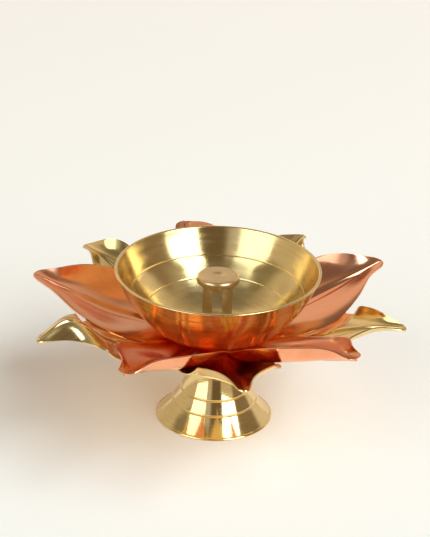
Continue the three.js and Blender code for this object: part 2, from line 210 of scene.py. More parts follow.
# Places that follow from the sizes
BRASS_MID_HEIGHT = SEAT_HEIGHT + STACK_CLEARANCE + SHEET_THICKNESS / 2
COPPER_MID_HEIGHT = BRASS_MID_HEIGHT + SHEET_THICKNESS + STACK_CLEARANCE
BOWL_FOOT_BOTTOM = COPPER_MID_HEIGHT + SHEET_THICKNESS / 2 + STACK_CLEARANCE
BOWL_UNDER_HEIGHT = BOWL_FOOT_BOTTOM + BOWL_FOOT_HEIGHT
BOWL_FLOOR_HEIGHT = BOWL_UNDER_HEIGHT + BOWL_FLOOR_THICKNESS
BORE_RADIUS = STUD_RADIUS + BORE_CLEARANCE
TUBE_BORE = TUBE_RADIUS - TUBE_WALL
PEG_RADIUS = TUBE_BORE - PEGGED_CLEARANCE
STUD_TOP = BOWL_FLOOR_HEIGHT + PEG_HEIGHT - PEG_WALL - STACK_CLEARANCE
WASHER_TOP = HOLLOW_HEIGHT - STACK_CLEARANCE
NUT_TOP = WASHER_TOP - WASHER_THICKNESS - STACK_CLEARANCE
CAP_UNDER_HEIGHT = CAP_TOP_HEIGHT - CAP_THICKNESS
PETAL_PITCH = 2 * math.pi / PETAL_COUNT


def smooth_share(x):
    return x * x * (3 - 2 * x)


def through_stations(stations, values, at):
    """A smooth curve through values given at rising stations, at many places at once."""
    stations = np.asarray(stations, float)
    values = np.asarray(values, float)
    slopes = np.diff(values) / np.diff(stations)
    tangents = np.concatenate([slopes[:1], (slopes[1:] + slopes[:-1]) / 2, slopes[-1:]])
    i = np.clip(np.searchsorted(stations, at, side="left") - 1, 0, len(slopes) - 1)
    span = stations[i + 1] - stations[i]
    x = np.clip((at - stations[i]) / span, 0, 1)
    rise = smooth_share(x)
    start = x * (1 - x) ** 2 * span * tangents[i]
    end = x * x * (x - 1) * span * tangents[i + 1]
    return values[i] * (1 - rise) + values[i + 1] * rise + start + end


# Meshes

def add_mesh(name, points, faces):
    """A smooth-shaded mesh object from points in millimetres."""
    mesh = bpy.data.meshes.new(name)
    mesh.from_pydata([Vector(p) * MM for p in points], [], faces)
    mesh.validate()
    mesh.polygons.foreach_set("use_smooth", [True] * len(mesh.polygons))
    piece = bpy.data.objects.new(name, mesh)
    bpy.context.scene.collection.objects.link(piece)
    return piece


def turned(name, outline, steps):
    """Turns an outline of (radius, height) points about the stem's axis. The outline ends
    on the axis, or its last point is its first."""
    closed = tuple(outline[0]) == tuple(outline[-1])
    rows = outline[:-1] if closed else outline
    points, rings, faces = [], [], []
    for radius, height in rows:
        if radius == 0:
            rings.append([len(points)] * steps)
            points.append((0, 0, height))
            continue
        rings.append(list(range(len(points), len(points) + steps)))
        for i in range(steps):
            angle = 2 * math.pi * i / steps
            points.append((radius * math.cos(angle), radius * math.sin(angle), height))
    pairs = list(zip(rings, rings[1:]))
    if closed:
        pairs.append((rings[-1], rings[0]))
    for low, high in pairs:
        for i in range(steps):
            k = (i + 1) % steps
            corners = [low[i], low[k], high[k], high[i]]
            face = list(dict.fromkeys(corners))
            if len(face) > 2:
                faces.append(face)
    piece = add_mesh(name, points, faces)
    outward(piece)
    return piece


def outward(piece):
    """Turns every face outward."""
    work = bmesh.new()
    work.from_mesh(piece.data)
    bmesh.ops.recalc_face_normals(work, faces=work.faces)
    work.to_mesh(piece.data)
    work.free()


def apply_modifiers(piece):
    """Leaves the piece as a plain mesh."""
    graph = bpy.context.evaluated_depsgraph_get()
    final = bpy.data.meshes.new_from_object(piece.evaluated_get(graph))
    piece.modifiers.clear()
    piece.data = final
    final.polygons.foreach_set("use_smooth", [True] * len(final.polygons))


def soften_edges(piece, width, segments=3, angle=35):
    """Rounds the sharp edges of a piece by a small width in millimetres."""
    bevel = piece.modifiers.new("soft_edges", "BEVEL")
    bevel.width = width * MM
    bevel.segments = segments
    bevel.limit_method = "ANGLE"
    bevel.angle_limit = math.radians(angle)
    bevel.harden_normals = False
    apply_modifiers(piece)


def scribed(outline, places, depth):
    """Cuts a fine V line into a finely stepped outline at each place (radius, height)."""
    outline = np.asarray(outline, float)
    steps = np.diff(outline, axis=0)
    along = np.concatenate([[0], np.cumsum(np.hypot(*steps.T))])
    tangent = np.gradient(outline, axis=0)
    tangent /= np.linalg.norm(tangent, axis=1)[:, None]
    normal = np.c_[tangent[:, 1], -tangent[:, 0]]
    cut = outline.copy()
    for place in places:
        centre = along[np.argmin(np.hypot(*(outline - place).T))]
        near = np.clip(1 - np.abs(along - centre) / LINE_HALF_WIDTH, 0, 1)
        cut -= normal * (depth * near)[:, None]
    return cut


# Stand

def stand_outer_radius(height):
    share = np.clip(1 - np.asarray(height, float) / FLARE_HEIGHT, 0, None)
    return NECK_RADIUS + (FOOT_RADIUS - NECK_RADIUS) * share ** FLARE_POWER


def make_stand():
    heights = np.arange(FOOT_LIP_HEIGHT, FLARE_HEIGHT, STAND_WALL_STEP)
    radii = stand_outer_radius(heights)
    for groove in (LOWER_GROOVE_HEIGHT, UPPER_GROOVE_HEIGHT):
        near = np.clip(1 - np.abs(heights - groove) / (GROOVE_WIDTH / 2), 0, 1)
        radii -= GROOVE_DEPTH * near
    wall = [tuple(p) for p in np.c_[radii, heights]]
    seat_under = SEAT_HEIGHT - SEAT_THICKNESS
    inner_heights = np.linspace(HOLLOW_HEIGHT, 0, STAND_HOLLOW_ROWS)
    inner = np.c_[stand_outer_radius(inner_heights) - STAND_WALL, inner_heights]
    outline = [
        (FOOT_RADIUS - FOOT_UNDER_BEVEL, 0), (FOOT_RADIUS, FOOT_EDGE_BEVEL),
        (FOOT_RADIUS, FOOT_LIP_HEIGHT - FOOT_EDGE_BEVEL),
        *wall[1:],
        (NECK_RADIUS + NECK_FILLET_WIDTH, FLARE_HEIGHT + NECK_FILLET_HEIGHT),
        (SEAT_RADIUS - SEAT_UNDER_BEVEL, seat_under),
        (SEAT_RADIUS, seat_under + SEAT_UNDER_BEVEL),
        (SEAT_RADIUS, SEAT_HEIGHT - SEAT_TOP_BEVEL),
        (SEAT_RADIUS - SEAT_TOP_BEVEL, SEAT_HEIGHT),
        (BORE_RADIUS, SEAT_HEIGHT), (BORE_RADIUS, HOLLOW_HEIGHT),
        *[tuple(p) for p in inner],
    ]
    outline.append(outline[0])
    return turned("stand_turning", outline, STAND_STEPS)


# Bowl

def make_bowl():
    share = np.linspace(0, 1, BOWL_WALL_ROWS)
    outer_spread = through_stations(OUTER_HEIGHT_SHARES, OUTER_SPREAD_SHARES, share)
    inner_spread = through_stations(INNER_HEIGHT_SHARES, INNER_SPREAD_SHARES, share)
    rim_low = BOWL_RIM_HEIGHT - RIM_ROUNDING
    inner_rim = BOWL_RADIUS - RIM_THICKNESS
    outer = np.c_[
        BOWL_UNDER_RADIUS + (BOWL_RADIUS - BOWL_UNDER_RADIUS) * outer_spread,
        BOWL_UNDER_HEIGHT + (rim_low - BOWL_UNDER_HEIGHT) * share,
    ]
    inner = np.c_[
        BOWL_FLOOR_RADIUS + (inner_rim - BOWL_FLOOR_RADIUS) * inner_spread,
        BOWL_FLOOR_HEIGHT + (rim_low - BOWL_FLOOR_HEIGHT) * share,
    ][::-1]
    outer_line = outer[np.argmin(np.abs(outer[:, 1] - OUTER_LINE_HEIGHT))]
    inner_lines = [inner[np.argmin(np.abs(inner[:, 1] - h))] for h in INNER_LINE_HEIGHTS]
    outer = scribed(outer, [outer_line], OUTER_LINE_DEPTH)
    inner = scribed(inner, inner_lines, INNER_LINE_DEPTH)
    rim_middle = BOWL_RADIUS - RIM_THICKNESS / 2
    rim_angles = np.linspace(0, math.pi, BOWL_RIM_ROWS)[1:-1]
    rim = np.c_[rim_middle + RIM_THICKNESS / 2 * np.cos(rim_angles),
                rim_low + RIM_ROUNDING * np.sin(rim_angles)]
    outline = [
        (0, STUD_TOP + STACK_CLEARANCE), (BORE_RADIUS, STUD_TOP + STACK_CLEARANCE),
        (BORE_RADIUS, BOWL_FOOT_BOTTOM),
        (BOWL_FOOT_RADIUS - BOWL_FOOT_BEVEL, BOWL_FOOT_BOTTOM),
        (BOWL_FOOT_RADIUS, BOWL_FOOT_BOTTOM + BOWL_FOOT_BEVEL),
        (BOWL_FOOT_RADIUS, BOWL_UNDER_HEIGHT - BOWL_FOOT_BEVEL),
        (BOWL_FOOT_RADIUS + BOWL_FOOT_BEVEL, BOWL_UNDER_HEIGHT),
        *[tuple(p) for p in outer], *[tuple(p) for p in rim], *[tuple(p) for p in inner],
        (PEG_RADIUS, BOWL_FLOOR_HEIGHT), (PEG_RADIUS, BOWL_FLOOR_HEIGHT + PEG_HEIGHT),
        (0, BOWL_FLOOR_HEIGHT + PEG_HEIGHT),
    ]
    return turned("bowl_turning", outline, BOWL_STEPS)


# Wick holder

def make_tube():
    bottom = BOWL_FLOOR_HEIGHT + STACK_CLEARANCE
    top = CAP_UNDER_HEIGHT - STACK_CLEARANCE
    tube = turned("wick_tube_turning", [
        (TUBE_BORE, bottom), (TUBE_RADIUS, bottom), (TUBE_RADIUS, top), (TUBE_BORE, top),
        (TUBE_BORE, bottom),
    ], TUBE_STEPS)
    low, high = bottom + TUBE_FOOT_RING, top - TUBE_HEAD_RING
    half = TUBE_SLOT_WIDTH / 2
    across = TUBE_RADIUS * 2
    corners = [(x, y, z) for z in (low, high) for y in (-across, across) for x in (-half, half)]
    sides = [(0, 2, 3, 1), (4, 5, 7, 6), (0, 1, 5, 4), (2, 6, 7, 3), (0, 4, 6, 2), (1, 3, 7, 5)]
    cutter = add_mesh("slot_cutter", corners, sides)
    cut = tube.modifiers.new("slot", "BOOLEAN")
    cut.object = cutter
    cut.operation = "DIFFERENCE"
    cut.solver = "EXACT"
    apply_modifiers(tube)
    bpy.data.objects.remove(cutter)
    soften_edges(tube, TUBE_EDGE)
    return tube


def make_cap():
    spigot = TUBE_BORE - PEGGED_CLEARANCE
    spigot_bottom = CAP_UNDER_HEIGHT - CAP_SPIGOT_LENGTH
    edge_angles = np.linspace(0, math.pi / 2, CAP_EDGE_ROWS)
    edge = np.c_[CAP_RADIUS - CAP_TOP_BEVEL * (1 - np.cos(edge_angles)),
                 CAP_TOP_HEIGHT - CAP_TOP_BEVEL * (1 - np.sin(edge_angles))]
    dish_radii = np.linspace(CAP_DISH_RADIUS, 0, CAP_DISH_ROWS)[:-1]
    dish_shares = dish_radii / CAP_DISH_RADIUS
    dip = (1 + np.cos(math.pi * dish_shares ** 2)) / 2
    boss = CAP_DISH_BOSS * np.exp(-(dish_shares / CAP_BOSS_SPREAD) ** 2)
    dish = np.c_[dish_radii, CAP_TOP_HEIGHT - CAP_DISH_DEPTH * dip + boss]
    return turned("wick_cap_turning", [
        (0, spigot_bottom), (spigot - CAP_SPIGOT_BEVEL, spigot_bottom),
        (spigot, spigot_bottom + CAP_SPIGOT_BEVEL), (spigot, CAP_UNDER_HEIGHT),
        (CAP_RADIUS - CAP_UNDER_BEVEL, CAP_UNDER_HEIGHT),
        (CAP_RADIUS - CAP_UNDER_BEVEL / 3, CAP_UNDER_HEIGHT + CAP_UNDER_BEVEL / 3),
        (CAP_RADIUS, CAP_UNDER_HEIGHT + CAP_UNDER_BEVEL),
        *[tuple(p) for p in edge], *[tuple(p) for p in dish],
        (0, CAP_TOP_HEIGHT - CAP_DISH_DEPTH + CAP_DISH_BOSS),
    ], CAP_STEPS)


# Fasteners

def hexagon(angle):
    """Radius of a hexagon with its flats at the nut's half width."""
    sector = math.pi / 3
    offset = (angle % sector) - sector / 2
    return NUT_ACROSS_FLATS / 2 / math.cos(offset)


def make_nut():
    bottom = NUT_TOP - NUT_THICKNESS
    face_radius = NUT_ACROSS_FLATS / 2 - NUT_BEVEL_WIDTH
    rows = (
        (lambda angle: BORE_RADIUS, bottom), (lambda angle: face_radius, bottom),
        (hexagon, bottom + NUT_BEVEL_HEIGHT), (hexagon, NUT_TOP - NUT_BEVEL_HEIGHT),
        (lambda angle: face_radius, NUT_TOP), (lambda angle: BORE_RADIUS, NUT_TOP),
    )
    points, faces = [], []
    for row, (radius_at, height) in enumerate(rows):
        low, high = row * NUT_STEPS, (row + 1) % len(rows) * NUT_STEPS
        for i in range(NUT_STEPS):
            angle = 2 * math.pi * i / NUT_STEPS
            radius = radius_at(angle)
            points.append((radius * math.cos(angle), radius * math.sin(angle), height))
            k = (i + 1) % NUT_STEPS
            faces.append((low + i, low + k, high + k, high + i))
    nut = add_mesh("nut_forging", points, faces)
    outward(nut)
    for polygon in nut.data.polygons:
        polygon.use_smooth = False
    return nut


def make_stud():
    bottom = NUT_TOP - NUT_THICKNESS - STUD_BELOW_NUT
    height = bottom + STUD_END_HEIGHT
    root_radius = STUD_RADIUS - THREAD_DEPTH
    end_radius = STUD_RADIUS - STUD_END_BEVEL
    outline = [(0, bottom), (end_radius, bottom), (root_radius, height)]
    while height < STUD_TOP - THREAD_PITCH:
        outline.append((STUD_RADIUS, height + THREAD_PITCH / 2))
        outline.append((root_radius, height + THREAD_PITCH))
        height += THREAD_PITCH
    outline += [(end_radius, STUD_TOP), (0, STUD_TOP)]
    return turned("stud_thread", outline, STUD_STEPS)


def make_washer():
    low = WASHER_TOP - WASHER_THICKNESS
    washer = turned("washer_blank", [
        (BORE_RADIUS, low), (WASHER_RADIUS, low), (WASHER_RADIUS, WASHER_TOP),
        (BORE_RADIUS, WASHER_TOP), (BORE_RADIUS, low),
    ], WASHER_STEPS)
    soften_edges(washer, WASHER_EDGE)
    return washer


# Petal sheets

class Sheet:
    """One sheet of metal, cut into five petals."""

    def __init__(self, petals, width_shares, half_width, tip_radius, mid_height, first_angle):
        self.petals = petals
        self.width_shares = width_shares
        self.half_width = half_width
        self.tip_radius = tip_radius
        self.mid_height = mid_height
        self.first_angle = math.radians(first_angle)

    def tip(self, number):
        return self.tip_radius * self.petals[number][2]

    def along(self, number, radius):
        return (radius - NOTCH_RADIUS) / (self.tip(number) - NOTCH_RADIUS)

    def width(self, number, radius):
        along = np.clip(self.along(number, radius), 0, 1)
        rounding = np.clip((along - 1 + TIP_ROUNDING_SHARE) / TIP_ROUNDING_SHARE, 0, 1)
        share = through_stations(WIDTH_STATION_SHARES, self.width_shares, along)
        return self.half_width * share * np.sqrt(1 - rounding ** 2)

    def half_angle(self, number, radius):
        sine = np.clip(self.width(number, radius) / radius, 0, 1)
        angle = np.minimum(PETAL_PITCH / 2, np.arcsin(sine))
        return np.where(radius <= NOTCH_RADIUS, PETAL_PITCH / 2, angle)

    def middle_angle(self, number, radius):
        lean, bend = self.petals[number][:2]
        along = np.clip(self.along(number, radius), 0, None)
        leaning = math.radians(lean) * (1 - (1 - along) ** 3)
        bending = math.radians(bend) * along ** 2
        return self.first_angle + number * PETAL_PITCH + leaning + bending

    def height(self, number, radius, across):
        """Height of the sheet's middle, with across from -1 to 1 between the edges."""
        belly_share, rib_shares, left_shares, right_shares = self.petals[number][3:]
        tip = self.tip(number)
        stations = [HUB_RADIUS] + [
            NOTCH_RADIUS + share * (tip - NOTCH_RADIUS) for share in HEIGHT_STATION_SHARES]
        rib = through_stations(stations, (0, *rib_shares), radius)
        left = through_stations(stations, (0, *left_shares, rib_shares[-1]), radius)
        right = through_stations(stations, (0, *right_shares, rib_shares[-1]), radius)
        edge = np.where(across > 0, left, right)
        cup = np.abs(across) ** CUP_POWER
        rib_slope = RIB_WALL_SHARE - RIB_FLOOR_SHARE
        side = np.clip((RIB_WALL_SHARE - np.abs(across)) / rib_slope, 0, 1)
        fade = np.clip((radius - HUB_RADIUS) / (NOTCH_RADIUS - HUB_RADIUS), 0, 1)
        sag = 4 * across ** 2 * (1 - across ** 2)
        belly = belly_share * self.width(number, radius) * sag
        height = self.mid_height + PETAL_RISE * (rib + (edge - rib) * cup)
        height = height - (RIB_DEPTH * smooth_share(side) + belly) * fade
        return np.where(radius <= HUB_RADIUS, self.mid_height, height)

    def over(self, radius, angle):
        """Lowest height of the sheet over points or close beside them, eased upward with
        the distance where they are clear of it."""
        lowest = np.full(np.shape(radius), np.inf)
        for number in range(PETAL_COUNT):
            offset = angle - self.middle_angle(number, radius)
            offset = (offset + math.pi) % (2 * math.pi) - math.pi
            half = np.maximum(self.half_angle(number, radius), LEAST_HALF_ANGLE)
            clear = np.maximum(0, np.abs(offset) - half - math.radians(NESTED_TURN))
            beyond = clear / math.radians(EASED_TURN)
            beyond = np.where((beyond > 1) | (radius > self.tip(number)), np.inf, beyond)
            turns = np.linspace(-NESTED_TURN, NESTED_TURN, NESTED_TURN_STEPS)
            for turn in np.radians(turns):
                across = np.clip(offset + turn, -half, half) / half
                height = self.height(number, radius, across) + EASED_RISE * beyond
                lowest = np.minimum(lowest, height)
        return lowest


copper_sheet = Sheet(COPPER_PETALS, COPPER_WIDTH_SHARES, COPPER_HALF_WIDTH,
                     COPPER_TIP_RADIUS, COPPER_MID_HEIGHT, FIRST_COPPER_ANGLE)
brass_sheet = Sheet(BRASS_PETALS, BRASS_WIDTH_SHARES, BRASS_HALF_WIDTH,
                    BRASS_TIP_RADIUS, BRASS_MID_HEIGHT, FIRST_BRASS_ANGLE)


def copper_ceiling(radius, angle):
    """The greatest height that the brass sheet may have where copper lies or turns over it."""
    inner = np.maximum(BORE_RADIUS, radius - NESTED_REACH)
    lowest = np.minimum(copper_sheet.over(radius, angle), copper_sheet.over(inner, angle))
    outward_share = np.clip((radius - HUB_RADIUS) / (NOTCH_RADIUS - HUB_RADIUS), 0, 1)
    flat_spacing = COPPER_MID_HEIGHT - BRASS_MID_HEIGHT
    return lowest - flat_spacing - (NESTED_SPACING - flat_spacing) * smooth_share(outward_share)


def no_ceiling(radius, angle):
    return np.full(np.shape(radius), np.inf)


def make_sheet(name, sheet, ceiling):
    """A fine grid: whole rings round the hub, then one tongue of rows for each petal."""
    columns = np.linspace(-1, 1, COLUMNS + 1)
    ring_radii = np.concatenate([
        [BORE_RADIUS], np.linspace(HUB_RADIUS * HUB_START_SHARE, HUB_RADIUS, HUB_ROWS),
        HUB_RADIUS + (NOTCH_RADIUS - HUB_RADIUS) * np.linspace(0, 1, INNER_ROWS + 1)[1:]])
    along = np.sin(np.linspace(0, 1, PETAL_ROWS + 1)[1:-1] * math.pi / 2)
    points, faces = [], []

    def place(number, radii, across):
        """Adds a grid of points and gives the rows of their numbers."""
        radius, side = np.meshgrid(radii, across, indexing="ij")
        angle = sheet.middle_angle(number, radius) + sheet.half_angle(number, radius) * side
        own = sheet.height(number, radius, side)
        room = np.clip((ceiling(radius, angle) - own) / NESTED_SOFTNESS, *SAFE_EXPONENTS)
        height = own - NESTED_SOFTNESS * np.log1p(np.exp(-room))
        height = np.where(radius <= HUB_RADIUS, sheet.mid_height, height)
        grid = np.stack([radius * np.cos(angle), radius * np.sin(angle), height], axis=-1)
        first = len(points)
        points.extend(grid.reshape(-1, 3).tolist())
        return (first + np.arange(radius.size)).reshape(radius.shape).tolist()

    def band(low, high):
        for i in range(len(low) - 1):
            faces.append((low[i], high[i], high[i + 1], low[i + 1]))

    parts = [place(number, ring_radii, columns[:-1]) for number in range(PETAL_COUNT)]
    rings = []
    for row in zip(*parts):
        ring = sum(row, [])
        rings.append(ring + ring[:1])
    for low, high in zip(rings, rings[1:]):
        band(low, high)
    for number in range(PETAL_COUNT):
        start = number * COLUMNS
        row = rings[-1][start:start + COLUMNS + 1]
        radii = NOTCH_RADIUS + along * (sheet.tip(number) - NOTCH_RADIUS)
        for following in place(number, radii, columns):
            band(row, following)
            row = following
        tip = place(number, [sheet.tip(number)], [0])[0][0]
        for i in range(COLUMNS):
            faces.append((row[i], tip, row[i + 1]))
    piece = add_mesh(name, points, faces)
    thick = piece.modifiers.new("thickness", "SOLIDIFY")
    thick.thickness = SHEET_THICKNESS * MM
    thick.offset = 0
    thick.use_even_offset = False
    apply_modifiers(piece)
    soften_edges(piece, SHEET_EDGE, segments=2, angle=SHEET_EDGE_ANGLE)
    return piece


# Materials

class Nodes:
    """Short calls for the nodes of one material or world."""

    def __init__(self, owner):
        owner.use_nodes = True
        self.tree = owner.node_tree

    def add(self, kind, **settings):
        node = self.tree.nodes.new(kind)
        for key, value in settings.items():
            setattr(node, key, value)
        return node

    def feed(self, value, target):
        """Links an output to an input, or sets the input to a plain value."""
        if isinstance(value, bpy.types.NodeSocket):
            self.tree.links.new(value, target)
        else:
            target.default_value = value

    def math(self, operation, *values):
        node = self.add("ShaderNodeMath", operation=operation)
        for i, value in enumerate(values):
            self.feed(value, node.inputs[i])
        return node.outputs[0]

    def mapped(self, source, start, end, low=0, high=1, **settings):
        """Carries the span from start to end over to the span from low to high."""
        node = self.add("ShaderNodeMapRange", **settings)
        for key, value in (("Value", source), ("From Min", start), ("From Max", end),
                           ("To Min", low), ("To Max", high)):
            self.feed(value, node.inputs[key])
        return node.outputs[0]

    def blend(self, factor, first, second):
        """A colour between two others, which are sockets or RGBA values."""
        node = self.add("ShaderNodeMix", data_type="RGBA")
        for key, value in (("Factor", factor), ("A", first), ("B", second)):
            self.feed(value, node.inputs[key])
        return node.outputs["Result"]

    def ramp(self, source, stops):
        node = self.add("ShaderNodeValToRGB")
        self.feed(source, node.inputs[0])
        elements = node.color_ramp.elements
        while len(elements) < len(stops):
            elements.new(0.5)
        for element, (position, colour) in zip(elements, stops):
            element.position = position
            element.color = (*colour, 1)
        return node.outputs[0]

    def noise(self, vector, scale, detail):
        node = self.add("ShaderNodeTexNoise")
        for key, value in (("Vector", vector), ("Scale", scale), ("Detail", detail),
                           ("Roughness", NOISE_ROUGHNESS)):
            self.feed(value, node.inputs[key])
        return node.outputs["Fac"]

    def bump(self, height, strength, distance, normal=None):
        node = self.add("ShaderNodeBump")
        for key, value in (("Height", height), ("Strength", strength), ("Distance", distance)):
            self.feed(value, node.inputs[key])
        if normal is not None:
            self.feed(normal, node.inputs["Normal"])
        return node.outputs["Normal"]

    def place(self, output="Object"):
        return self.add("ShaderNodeTexCoord").outputs[output]

    def split(self, vector):
        node = self.add("ShaderNodeSeparateXYZ")
        self.feed(vector, node.inputs[0])
        return node.outputs

    def joined(self, *values):
        node = self.add("ShaderNodeCombineXYZ")
        for i, value in enumerate(values):
            self.feed(value, node.inputs[i])
        return node.outputs[0]

    def round_stem(self, scale):
        """The direction from the stem's axis, scaled, with the radius and the height."""
        x, y, z = self.split(self.place())
        squares = self.math("ADD", self.math("MULTIPLY", x, x), self.math("MULTIPLY", y, y))
        radius = self.math("SQRT", squares)
        direction = [self.math("MULTIPLY", self.math("DIVIDE", value, radius), scale)
                     for value in (x, y)]
        return direction, radius, z

    def turned_place(self, fine, around):
        """Coordinates that change fast along a turned outline and slowly round it."""
        direction, radius, z = self.round_stem(around)
        along = self.math("SUBTRACT", radius, self.math("MULTIPLY", z, TURNED_HEIGHT_SHARE))
        return self.joined(self.math("MULTIPLY", along, fine), *direction)

    def ray_place(self, fine, along):
        """Coordinates that change fast round the stem and slowly along each petal."""
        direction, radius, _ = self.round_stem(fine)
        return self.joined(*direction, self.math("MULTIPLY", radius, along))

    def watched(self):
        """1 for rays from the camera or off a metal, otherwise 0."""
        outputs = self.add("ShaderNodeLightPath").outputs
        return self.math("MAXIMUM", outputs["Is Camera Ray"], outputs["Is Glossy Ray"])


# Scales of the fine and the coarse marks, as turned_place and ray_place take them
TURNED_MARKS = ((5200, 1.2), (1400, 3))
RAY_MARKS = ((150, 18), (26, 30))
TURNED_HEIGHT_SHARE = 0.83
QUARTER_TURN = 0.25
CLOUD_SCALE = 60
WAVE_SCALE = 45
NOISE_ROUGHNESS = 0.55
NOISE_SPAN = (0.35, 0.65)
MAIN_NOISE_SHARE = 0.6
FINE_BUMP = (0.12, 0.02 * MM)
COARSE_BUMP = (0.3, 0.03 * MM)


def polished_metal(name, light, dark, roughness, marks, anisotropy, waviness):
    """Metal with fine marks from its making, uneven polish and a little tarnish."""
    material = bpy.data.materials.new(name)
    nodes = Nodes(material)
    shader = nodes.tree.nodes["Principled BSDF"].inputs
    shader["Metallic"].default_value = 1
    shader["Anisotropic"].default_value = anisotropy
    if marks == "turned":
        shader["Anisotropic Rotation"].default_value = QUARTER_TURN
        fine_place, coarse_place = [nodes.turned_place(*scales) for scales in TURNED_MARKS]
    else:
        fine_place, coarse_place = [nodes.ray_place(*scales) for scales in RAY_MARKS]
    tangent = nodes.add("ShaderNodeTangent", direction_type="RADIAL", axis="Z")
    nodes.feed(tangent.outputs[0], shader["Tangent"])
    fine = nodes.noise(fine_place, scale=1, detail=4)
    coarse = nodes.noise(coarse_place, scale=1, detail=3)
    cloud = nodes.noise(nodes.place(), CLOUD_SCALE, detail=5)
    wave = nodes.noise(nodes.place(), WAVE_SCALE, detail=2)

    def mostly(main, other):
        return nodes.math("ADD", nodes.math("MULTIPLY", main, MAIN_NOISE_SHARE),
                          nodes.math("MULTIPLY", other, 1 - MAIN_NOISE_SHARE))

    nodes.feed(nodes.ramp(mostly(cloud, coarse), list(zip(NOISE_SPAN, (dark, light)))),
               shader["Base Color"])
    nodes.feed(nodes.mapped(mostly(coarse, cloud), *NOISE_SPAN, *roughness),
               shader["Roughness"])
    normal = nodes.bump(fine, *FINE_BUMP)
    normal = nodes.bump(coarse, *COARSE_BUMP, normal)
    normal = nodes.bump(wave, 1, waviness * MM, normal)
    nodes.feed(normal, shader["Normal"])
    return material


BRASS_LIGHT = (0.93, 0.7, 0.33)
BRASS_DARK = (0.8, 0.57, 0.24)
COPPER_LIGHT = (0.95, 0.45, 0.26)
COPPER_DARK = (0.9, 0.36, 0.18)
HOLDER_LIGHT = (0.9, 0.65, 0.35)
HOLDER_DARK = (0.78, 0.53, 0.27)
STEEL_LIGHT = (0.62, 0.61, 0.58)
STEEL_DARK = (0.45, 0.44, 0.42)

bowl_brass = polished_metal("bowl_brass", BRASS_LIGHT, BRASS_DARK, (0.12, 0.26),
                            "turned", anisotropy=0.6, waviness=0.05)
stand_brass = polished_metal("stand_brass", BRASS_LIGHT, BRASS_DARK, (0.05, 0.15),
                             "turned", anisotropy=0.5, waviness=0.04)
holder_brass = polished_metal("holder_brass", HOLDER_LIGHT, HOLDER_DARK, (0.26, 0.38),
                              "turned", anisotropy=0.4, waviness=0.04)
petal_brass = polished_metal("petal_brass", BRASS_LIGHT, BRASS_DARK, (0.12, 0.26),
                             "rays", anisotropy=0.3, waviness=0.25)
petal_copper = polished_metal("petal_copper", COPPER_LIGHT, COPPER_DARK, (0.12, 0.24),
                              "rays", anisotropy=0.3, waviness=0.25)
fastener_steel = polished_metal("fastener_steel", STEEL_LIGHT, STEEL_DARK, (0.3, 0.45),
                                "turned", anisotropy=0.2, waviness=0.05)


# Assembly

def finish_piece(piece, body, material, node):
    piece.data.materials.clear()
    piece.data.materials.append(material)
    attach(piece, body)
    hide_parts(node)


finish_piece(make_stand(), "lamp", stand_brass, "base_stand")
finish_piece(make_washer(), "lamp", fastener_steel, "lock_washer")
finish_piece(make_nut(), "lamp", fastener_steel, "lock_nut")
finish_piece(make_stud(), "lamp", fastener_steel, "center_stud")
finish_piece(make_bowl(), "lamp", bowl_brass, "bowl")
finish_piece(make_sheet("brass_petal_sheet", brass_sheet, copper_ceiling), "brass_layer",
             petal_brass, "brass_petals")
finish_piece(make_sheet("copper_petal_sheet", copper_sheet, no_ceiling), "copper_layer",
             petal_copper, "copper_petals")
finish_piece(make_tube(), "wick_holder", holder_brass, "wick_tube")
finish_piece(make_cap(), "wick_holder", holder_brass, "wick_cap")


# Floor: pale paper that sends back neutral light. Seen directly or in the metal it has
# the warm white of the photograph, which grows a little from the front to the back

FLOOR_COLOUR = (0.93, 0.93, 0.92)
FLOOR_SEEN_FRONT = (1.08, 0.97, 0.85)
FLOOR_SEEN_BACK = (1.22, 1.05, 0.91)
FLOOR_FRONT = -0.1
FLOOR_BACK = 0.54
FLOOR_HALF_SIZE = 6
FLOOR_ROUGHNESS = 0.9
FLOOR_SPECULAR = 0.2


def make_floor():
    half = FLOOR_HALF_SIZE
    mesh = bpy.data.meshes.new("floor")
    mesh.from_pydata([(-half, -half, 0), (half, -half, 0), (half, half, 0), (-half, half, 0)],
                     [], [(0, 1, 2, 3)])
    floor = bpy.data.objects.new("floor", mesh)
    bpy.context.scene.collection.objects.link(floor)
    paper = bpy.data.materials.new("floor_paper")
    nodes = Nodes(paper)
    shader = nodes.tree.nodes["Principled BSDF"].inputs
    shader["Roughness"].default_value = FLOOR_ROUGHNESS
    shader["Specular IOR Level"].default_value = FLOOR_SPECULAR
    depth = nodes.mapped(nodes.split(nodes.place())["Y"], FLOOR_FRONT, FLOOR_BACK)
    seen = nodes.blend(depth, (*FLOOR_SEEN_FRONT, 1), (*FLOOR_SEEN_BACK, 1))
    nodes.feed(nodes.blend(nodes.watched(), (*FLOOR_COLOUR, 1), seen), shader["Base Color"])
    mesh.materials.append(paper)


make_floor()


# World: pale warm walls round the table and a dim ceiling, which fill the floor's shadow
# a little less than they show in the metal. Each patch of the walls is
# (azimuth, half width, soft edge, lower and upper height, colour), with angles in degrees
# from the camera's side towards the right and heights as shares of a unit direction

